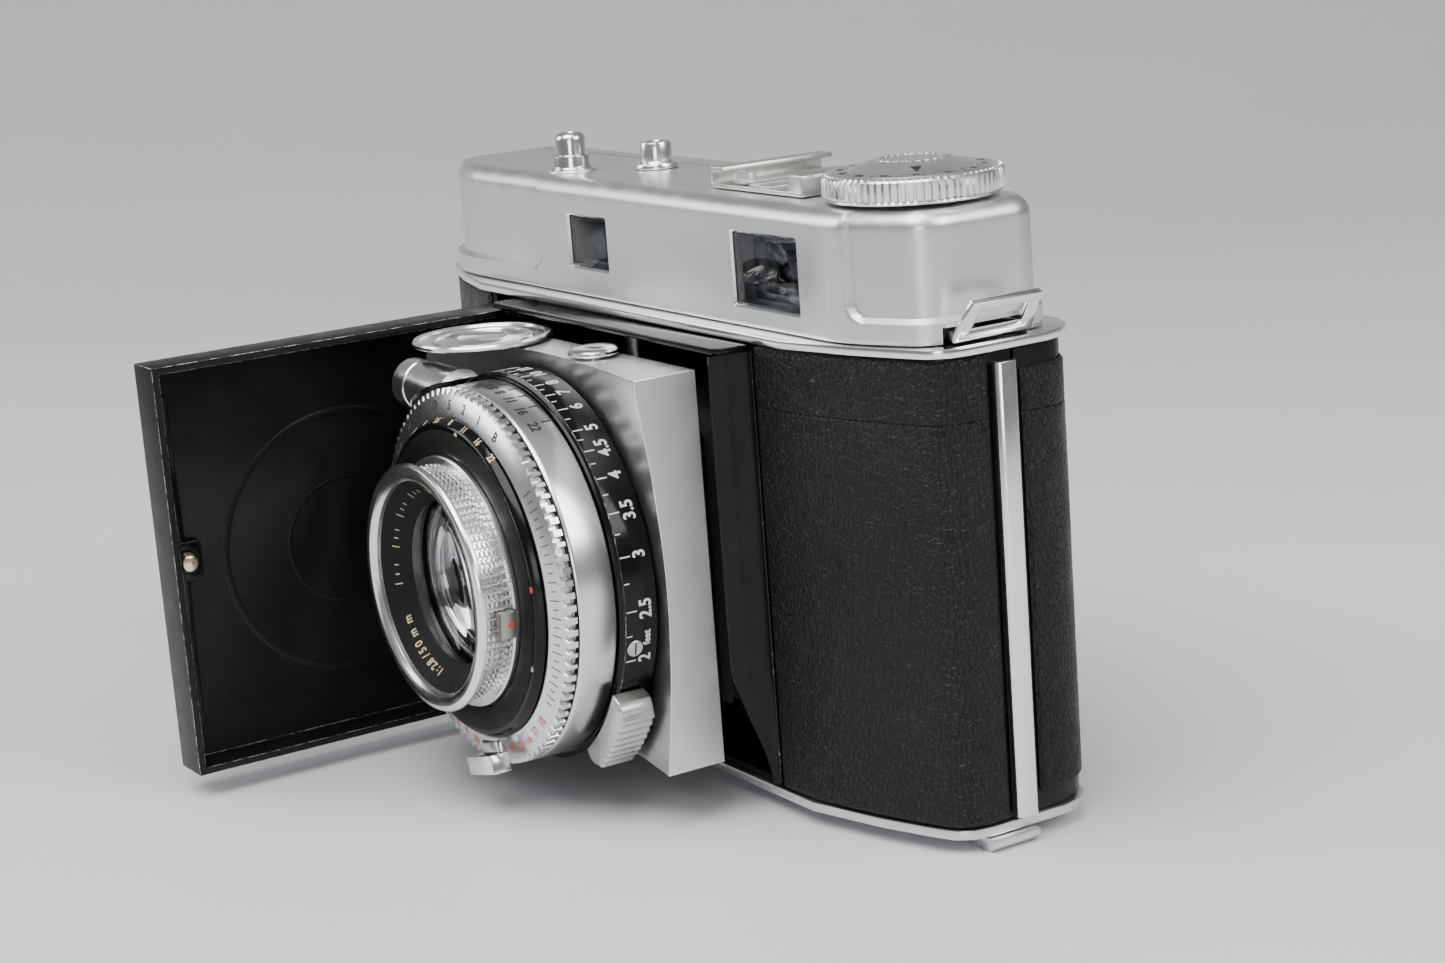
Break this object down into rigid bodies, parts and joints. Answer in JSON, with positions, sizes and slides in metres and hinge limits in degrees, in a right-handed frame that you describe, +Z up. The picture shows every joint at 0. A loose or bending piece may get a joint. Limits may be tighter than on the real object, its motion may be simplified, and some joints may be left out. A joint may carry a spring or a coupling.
{
  "type": "folding rangefinder camera",
  "caption": "Folding 35 mm rangefinder camera with its hinged front door open, lens standard drawn out, ringed leaf-shutter lens, leather panels and a bright metal top cover.",
  "frame": {"origin": "bottom centre of the whole object's box: on the surface the camera stands on, midway across the width and midway between the open door's edge and the back", "axes": "+Z up; -Y out of the lens; +X to the right as seen from in front of the lens, towards the rewind knob"},
  "size_m": [0.1326, 0.0872, 0.0866],
  "materials": {
    "satin_chrome": "satin",
    "polished_chrome": "polished",
    "steel": "brushed",
    "black_enamel": "semi-gloss",
    "leather": "grained",
    "bellows_cloth": "matt",
    "brass": "worn",
    "glass": "clear",
    "mirror": "polished"
  },
  "bodies": {
    "body": {"body_casting": "black_enamel", "front_leather_right": "leather", "front_leather_left": "leather", "base_plate": "satin_chrome", "trim_band": "polished_chrome", "end_strip_right": "polished_chrome", "foot_right": "satin_chrome", "end_strip_left": "polished_chrome", "foot_left": "satin_chrome", "tripod_boss": "steel", "top_cover": "satin_chrome", "viewfinder_window": "glass", "rangefinder_window": "glass", "viewfinder_mask": "black_enamel", "beam_splitter": "glass", "rangefinder_mirror": "mirror", "eyepiece_ring": "black_enamel", "eyepiece_lens": "glass", "accessory_shoe": "steel", "shoe_spring": "steel", "release_collar": "polished_chrome", "cable_socket": "polished_chrome", "strap_lug_right": "steel", "strap_lug_left": "steel", "film_gate": "black_enamel", "bellows": "bellows_cloth", "door_hinge_pin_lower": "steel", "door_hinge_pin_upper": "steel", "back_hinge_pin": "steel"},
    "front_door": {"front_door": "black_enamel", "door_leather": "leather"},
    "door_catch": {"latch_button": "brass"},
    "lens_standard": {"lens_housing": "satin_chrome", "strut_disc": "polished_chrome", "shutter_barrel": "satin_chrome", "front_cell": "satin_chrome", "index_tab": "steel", "front_element": "glass", "shutter_blades": "black_enamel", "rear_element": "glass", "sync_socket": "polished_chrome"},
    "focus_ring": {"focus_ring": "black_enamel", "focus_grip": "steel"},
    "speed_ring": {"speed_ring": "satin_chrome"},
    "aperture_ring": {"aperture_ring": "black_enamel", "ev_lever": "polished_chrome"},
    "timer_lever": {"timer_lever": "steel"},
    "close_button_top": {"close_button_top": "polished_chrome"},
    "close_button_bottom": {"close_button_bottom": "polished_chrome"},
    "back_door": {"back_door": "black_enamel", "back_leather": "leather", "pressure_plate": "black_enamel"},
    "back_release_ring": {"back_release_ring": "satin_chrome"},
    "advance_lever": {"advance_lever": "satin_chrome"},
    "take_up_spool": {"take_up_spool": "black_enamel"},
    "sprocket_shaft": {"sprocket_shaft": "steel"},
    "rewind_collar": {"rewind_collar": "steel"},
    "rewind_knob": {"rewind_knob": "polished_chrome", "reminder_dial": "satin_chrome"},
    "release_button": {"release_button": "polished_chrome"}
  },
  "joints": [
    {"name": "door_hinge", "type": "hinge", "parent": "body", "child": "front_door", "pos_m": [-0.027, 0.01438, 0.03155], "axis": [0, 0, 1], "range_deg": [0, 90]},
    {"name": "standard_slide", "type": "slide", "parent": "body", "child": "lens_standard", "axis": [0, 1, 0], "range_m": [0, 0.0315], "deforming": ["bellows"]},
    {"name": "door_catch_press", "type": "slide", "parent": "front_door", "child": "door_catch", "axis": [1, 0, 0], "range_m": [0, 0.0008], "stiffness_N_per_m": 300},
    {"name": "focus_turn", "type": "hinge", "parent": "lens_standard", "child": "focus_ring", "pos_m": [0, -0.00162, 0.03155], "axis": [0, -1, 0], "range_deg": [0, 90]},
    {"name": "speed_turn", "type": "hinge", "parent": "lens_standard", "child": "speed_ring", "pos_m": [0, -0.00162, 0.03155], "axis": [0, -1, 0], "range_deg": [-98, 28]},
    {"name": "aperture_turn", "type": "hinge", "parent": "lens_standard", "child": "aperture_ring", "pos_m": [0, -0.00162, 0.03155], "axis": [0, -1, 0], "range_deg": [-35, 35]},
    {"name": "timer_cock", "type": "hinge", "parent": "lens_standard", "child": "timer_lever", "pos_m": [0, -0.00162, 0.03155], "axis": [0, -1, 0], "range_deg": [-30, 0]},
    {"name": "close_top_press", "type": "slide", "parent": "lens_standard", "child": "close_button_top", "axis": [0, 0, -1], "range_m": [0, 0.00025], "stiffness_N_per_m": 800},
    {"name": "close_bottom_press", "type": "slide", "parent": "lens_standard", "child": "close_button_bottom", "axis": [0, 0, 1], "range_m": [0, 0.00025], "stiffness_N_per_m": 800},
    {"name": "back_hinge", "type": "hinge", "parent": "body", "child": "back_door", "pos_m": [-0.0616, 0.03698, 0.03155], "axis": [0, 0, 1], "range_deg": [0, 105]},
    {"name": "back_release_turn", "type": "hinge", "parent": "body", "child": "back_release_ring", "pos_m": [0, 0.02838, 0.001], "axis": [0, 0, 1], "range_deg": [-25, 0], "stiffness_Nm_per_rad": 0.03},
    {"name": "advance_swing", "type": "hinge", "parent": "body", "child": "advance_lever", "pos_m": [-0.0484, 0.02917, 0.0011], "axis": [0, 0, 1], "range_deg": [-110, 0], "stiffness_Nm_per_rad": 0.01},
    {"name": "spool_spin", "type": "hinge", "parent": "body", "child": "take_up_spool", "pos_m": [-0.0484, 0.02917, 0.033], "axis": [0, 0, 1], "continuous": true},
    {"name": "sprocket_spin", "type": "hinge", "parent": "body", "child": "sprocket_shaft", "pos_m": [-0.0348, 0.03558, 0.033], "axis": [0, 0, 1], "continuous": true},
    {"name": "rewind_lift", "type": "slide", "parent": "body", "child": "rewind_collar", "axis": [0, 0, 1], "range_m": [0, 0.005]},
    {"name": "rewind_turn", "type": "hinge", "parent": "rewind_collar", "child": "rewind_knob", "pos_m": [0.0493, 0.02838, 0.083], "axis": [0, 0, 1], "continuous": true},
    {"name": "release_press", "type": "slide", "parent": "body", "child": "release_button", "axis": [0, 0, -1], "range_m": [0, 0.0018], "stiffness_N_per_m": 250}
  ],
  "couplings": [
    {"joint": "door_hinge", "follows": "standard_slide", "rad_per_m": 49.86}
  ]
}
